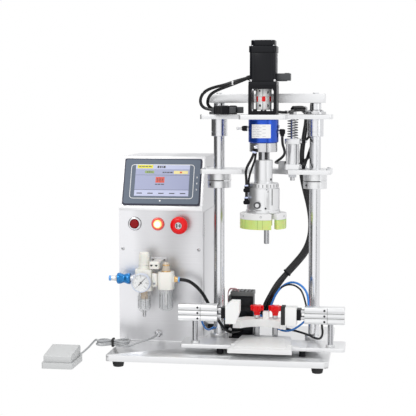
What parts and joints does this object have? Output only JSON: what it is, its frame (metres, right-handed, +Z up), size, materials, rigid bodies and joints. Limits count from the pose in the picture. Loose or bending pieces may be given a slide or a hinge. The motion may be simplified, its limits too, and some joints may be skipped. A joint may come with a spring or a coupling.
{
  "type": "desktop capping machine",
  "caption": "Bench capping machine: control box, air unit, bottle table with side clamps, and a spindle head with a three-jaw cap gripper on two columns.",
  "frame": {"origin": "middle of the bottle tray's top face, straight under the spindle axis", "axes": "+X to the machine's right as its operator faces it, +Y to its back, +Z up along the spindle"},
  "size_m": [0.6525, 0.4225, 0.708],
  "materials": {
    "satin_aluminium": "fine bead-blasted and clear anodised",
    "brushed_stainless": "horizontally brushed sheet",
    "polished_steel": "ground and hard chromed",
    "zinc_screw": "plated socket screws",
    "black_anodised": "matt black anodised",
    "motor_black": "fine-textured black paint",
    "blue_anodised": "bright blue anodised",
    "white_nylon": "machined white plastic",
    "cream_plastic": "moulded off-white plastic",
    "clear_bowl": "clear moulded plastic",
    "lime_polyurethane": "translucent lime elastomer",
    "black_rubber": "moulded rubber",
    "hose_black": "smooth hose and braided sleeve",
    "red_plastic": "moulded bright red plastic",
    "dark_red_lens": "tinted lens",
    "yellow_lens": "lit lens",
    "panel_grey": "fine-textured slate grey housing",
    "pedal_grey": "fine-grained light grey plastic",
    "cord_grey": "soft grey cord jacket",
    "black_plastic": "moulded black plastic",
    "gauge_white": "white case and dial",
    "needle_black": "black needle",
    "spring_steel": "oiled spring wire"
  },
  "bodies": {
    "frame": {"base_plate": "satin_aluminium", "base_feet": "black_rubber", "control_box_shell": "brushed_stainless", "control_box_back": "brushed_stainless", "hmi_panel": "panel_grey", "button_bodies": "black_plastic", "control_gear": "black_anodised", "power_inlet": "black_plastic", "cable_gland": "polished_steel", "frl_bracket": "zinc_screw", "frl_bodies": "cream_plastic", "frl_bowls": "clear_bowl", "gauge_case": "gauge_white", "air_fittings": "blue_anodised", "columns": "polished_steel", "column_collars": "satin_aluminium", "tie_bar": "satin_aluminium", "frame_screws": "zinc_screw", "mid_plate": "satin_aluminium", "lift_cylinder": "satin_aluminium", "lift_spring": "spring_steel", "table_plate": "satin_aluminium", "bottle_tray": "white_nylon", "table_posts": "polished_steel", "clamp_cylinders": "satin_aluminium", "solenoid_valve": "black_plastic", "cable_bundle": "hose_black", "pedal_base": "pedal_grey", "pedal_cable": "cord_grey", "cable_hank": "cord_grey"},
    "head": {"top_plate": "satin_aluminium", "linear_bearings": "polished_steel", "head_rods": "polished_steel", "coupling_housing": "black_anodised", "servo_motor": "motor_black", "motor_leads": "hose_black", "rotary_union": "blue_anodised", "head_hoses": "hose_black"},
    "spindle": {"spindle_shaft": "satin_aluminium", "shaft_coupling": "satin_aluminium", "rotor_flange": "satin_aluminium", "rotor_hoses": "hose_black", "gripper_body": "satin_aluminium"},
    "jaw_1": {"gripper_jaw_1": "lime_polyurethane"},
    "jaw_2": {"gripper_jaw_2": "lime_polyurethane"},
    "jaw_3": {"gripper_jaw_3": "lime_polyurethane"},
    "left_clamp": {"left_clamp_jaw": "white_nylon"},
    "right_clamp": {"right_clamp_jaw": "white_nylon"},
    "red_button": {"red_button_cap": "dark_red_lens"},
    "lit_button": {"lit_button_cap": "yellow_lens"},
    "estop": {"estop_head": "red_plastic"},
    "estop_key": {"estop_key": "zinc_screw"},
    "slide_valve": {"slide_valve_sleeve": "blue_anodised"},
    "regulator": {"regulator_knob": "cream_plastic"},
    "gauge_needle": {"gauge_needle": "needle_black"},
    "box_lock": {"cam_lock": "polished_steel"},
    "locator": {"locator_plate": "white_nylon"},
    "star_left": {"star_knob_left": "red_plastic"},
    "star_right": {"star_knob_right": "red_plastic"},
    "treadle": {"pedal_treadle": "pedal_grey"}
  },
  "joints": [
    {"name": "head_lift", "type": "slide", "parent": "frame", "child": "head", "axis": [0, 0, 1], "range_m": [-0.02, 0], "stiffness_N_per_m": 4000, "springref_m": 0.03, "deforming": ["lift_spring", "head_hoses"]},
    {"name": "spindle_spin", "type": "hinge", "parent": "head", "child": "spindle", "pos_m": [0, 0, 0.446], "axis": [0, 0, 1], "continuous": true},
    {"name": "jaw_1_slide", "type": "slide", "parent": "spindle", "child": "jaw_1", "axis": [0.9976, 0.0698, 0], "range_m": [-0.004, 0]},
    {"name": "jaw_2_slide", "type": "slide", "parent": "spindle", "child": "jaw_2", "axis": [-0.5592, 0.829, 0], "range_m": [-0.004, 0]},
    {"name": "jaw_3_slide", "type": "slide", "parent": "spindle", "child": "jaw_3", "axis": [-0.4384, -0.8988, 0], "range_m": [-0.004, 0]},
    {"name": "left_clamp_slide", "type": "slide", "parent": "frame", "child": "left_clamp", "axis": [1, 0, 0], "range_m": [0, 0.02]},
    {"name": "right_clamp_slide", "type": "slide", "parent": "frame", "child": "right_clamp", "axis": [-1, 0, 0], "range_m": [0, 0.02]},
    {"name": "red_button_push", "type": "slide", "parent": "frame", "child": "red_button", "axis": [0, 1, 0], "range_m": [0, 0.003], "stiffness_N_per_m": 400, "springref_m": -0.002},
    {"name": "lit_button_push", "type": "slide", "parent": "frame", "child": "lit_button", "axis": [0, 1, 0], "range_m": [0, 0.003], "stiffness_N_per_m": 400, "springref_m": -0.002},
    {"name": "estop_push", "type": "slide", "parent": "frame", "child": "estop", "axis": [0, 1, 0], "range_m": [0, 0.004]},
    {"name": "estop_key_turn", "type": "hinge", "parent": "estop", "child": "estop_key", "pos_m": [-0.197, 0.062, 0.246], "axis": [0, -1, 0], "range_deg": [0, 45], "stiffness_Nm_per_rad": 0.05, "springref_deg": -5.73},
    {"name": "slide_valve_shift", "type": "slide", "parent": "frame", "child": "slide_valve", "axis": [1, 0, 0], "range_m": [0, 0.005]},
    {"name": "regulator_turn", "type": "hinge", "parent": "frame", "child": "regulator", "pos_m": [-0.273, 0.047, 0.172], "axis": [0, 0, 1], "range_deg": [-270, 500]},
    {"name": "gauge_needle_turn", "type": "hinge", "parent": "frame", "child": "gauge_needle", "pos_m": [-0.273, 0.01, 0.1225], "axis": [0, -1, 0], "range_deg": [-93, 177]},
    {"name": "box_lock_turn", "type": "hinge", "parent": "frame", "child": "box_lock", "pos_m": [-0.147, 0.298, 0.182], "axis": [1, 0, 0], "range_deg": [-90, 0]},
    {"name": "locator_slide", "type": "slide", "parent": "frame", "child": "locator", "axis": [0, 1, 0], "range_m": [-0.006, 0.006]},
    {"name": "star_left_turn", "type": "hinge", "parent": "frame", "child": "star_left", "pos_m": [-0.02, 0.072, 0.056], "axis": [0, 0, 1], "continuous": true},
    {"name": "star_right_turn", "type": "hinge", "parent": "frame", "child": "star_right", "pos_m": [0.021, 0.072, 0.056], "axis": [0, 0, 1], "continuous": true},
    {"name": "treadle_press", "type": "hinge", "parent": "frame", "child": "treadle", "pos_m": [-0.4385, -0.014, -0.042], "axis": [1, 0, 0], "range_deg": [0, 6], "stiffness_Nm_per_rad": 2, "springref_deg": -11.46}
  ],
  "couplings": [
    {"joint": "jaw_2_slide", "follows": "jaw_1_slide", "ratio": 1},
    {"joint": "jaw_3_slide", "follows": "jaw_1_slide", "ratio": 1},
    {"joint": "right_clamp_slide", "follows": "left_clamp_slide", "ratio": 1},
    {"joint": "gauge_needle_turn", "follows": "regulator_turn", "ratio": 0.344}
  ]
}
